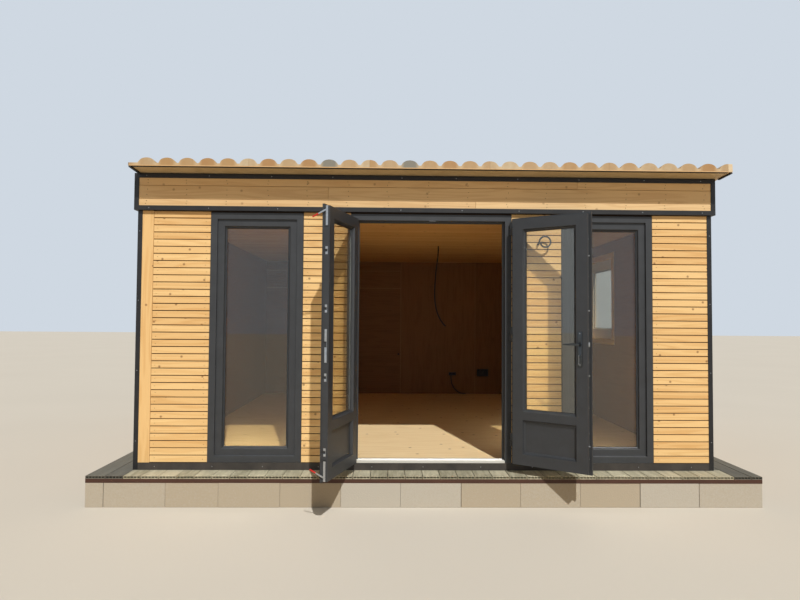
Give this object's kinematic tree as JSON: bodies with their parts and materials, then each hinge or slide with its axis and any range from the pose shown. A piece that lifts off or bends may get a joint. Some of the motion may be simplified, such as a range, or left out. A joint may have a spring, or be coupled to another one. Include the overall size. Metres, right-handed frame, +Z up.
{
  "type": "garden office pod",
  "caption": "Timber-clad garden office cabin on a block plinth, with a wave-profile pitched roof, tall fixed windows and glazed outward-opening French doors.",
  "frame": {"origin": "centre of the plinth's underside, on the ground", "axes": "+X to the right seen from the front, +Y from the front wall into the room, +Z up; the doors face -Y"},
  "size_m": [5.6, 5.9066, 2.88],
  "materials": {
    "kerb_block": "matt concrete block",
    "concrete": "matt concrete",
    "joist_timber": "sawn, stained brown",
    "composite_deck": "ribbed, dark brown-grey",
    "panel_timber": "planed softwood",
    "floor_board": "bare wood board",
    "cladding_pine": "planed, clear stain",
    "black_metal": "satin black",
    "fascia_pine": "planed, clear stain",
    "roof_sheet": "matt brown",
    "ceiling_pine": "planed softwood",
    "anthracite_pvc": "fine-grained satin",
    "white_pvc": "satin",
    "glazing": "clear",
    "casing_pine": "planed softwood",
    "mill_aluminium": "mill finish",
    "zinc_steel": "zinc plated",
    "handle_alloy": "satin anodised",
    "hinge_metal": "satin dark grey",
    "black_plastic": "matt",
    "grey_plastic": "matt, ribbed"
  },
  "bodies": {
    "pod": {"plinth_kerb": "kerb_block", "ground_slab": "concrete", "deck_joists": "joist_timber", "deck_boards": "composite_deck", "floor_cassette": "panel_timber", "floor_boards": "floor_board", "front_wall_left": "panel_timber", "front_wall_inner_left": "panel_timber", "front_wall_inner_right": "panel_timber", "front_wall_right": "panel_timber", "front_header": "panel_timber", "left_wall": "panel_timber", "right_wall": "panel_timber", "back_wall": "panel_timber", "cladding_front": "cladding_pine", "cladding_sides": "cladding_pine", "corner_trims": "black_metal", "base_rails": "black_metal", "fascia_boards": "fascia_pine", "fascia_trims": "black_metal", "roof_panels": "roof_sheet", "verge_trims": "black_metal", "ceiling": "ceiling_pine", "left_window_frame": "anthracite_pvc", "left_window_glass": "glazing", "right_window_frame": "anthracite_pvc", "right_window_glass": "glazing", "side_window_frame": "white_pvc", "side_window_glass": "glazing", "side_window_casing": "casing_pine", "door_frame": "anthracite_pvc", "threshold": "mill_aluminium", "frame_hinges": "hinge_metal", "socket_boxes": "black_plastic", "ceiling_conduit": "black_plastic", "wall_conduit": "black_plastic", "lamp_conduit": "grey_plastic"},
    "left_leaf": {"left_leaf_frame": "anthracite_pvc", "left_leaf_panel": "anthracite_pvc", "left_leaf_glass": "glazing", "left_leaf_keeps": "zinc_steel", "left_leaf_hinges": "hinge_metal"},
    "top_bolt": {"top_bolt_lever": "zinc_steel"},
    "bottom_bolt": {"bottom_bolt_lever": "zinc_steel"},
    "right_leaf": {"right_leaf_frame": "anthracite_pvc", "right_leaf_panel": "anthracite_pvc", "right_leaf_glass": "glazing", "right_leaf_lock": "zinc_steel", "right_leaf_hinges": "hinge_metal", "handle_plates": "handle_alloy"},
    "lever": {"lever_handle": "handle_alloy"}
  },
  "joints": [
    {"name": "left_leaf_hinge", "type": "hinge", "parent": "pod", "child": "left_leaf", "pos_m": [-0.65, -2.53, 1.38], "axis": [0, 0, -1], "range_deg": [-107, 58]},
    {"name": "right_leaf_hinge", "type": "hinge", "parent": "pod", "child": "right_leaf", "pos_m": [0.726, -2.53, 1.38], "axis": [0, 0, 1], "range_deg": [-145, 20]},
    {"name": "lever_turn", "type": "hinge", "parent": "right_leaf", "child": "lever", "pos_m": [1.21306, -2.92232, 1.36], "axis": [-0.5736, -0.8192, 0], "range_deg": [0, 40], "stiffness_Nm_per_rad": 1, "springref_deg": -34.38},
    {"name": "top_bolt_turn", "type": "hinge", "parent": "left_leaf", "child": "top_bolt", "pos_m": [-0.79677, -3.19306, 2.381], "axis": [0.2924, 0.9563, 0], "range_deg": [-65, 0]},
    {"name": "bottom_bolt_turn", "type": "hinge", "parent": "left_leaf", "child": "bottom_bolt", "pos_m": [-0.79677, -3.19306, 0.367], "axis": [-0.2924, -0.9563, 0], "range_deg": [-65, 0]}
  ]
}
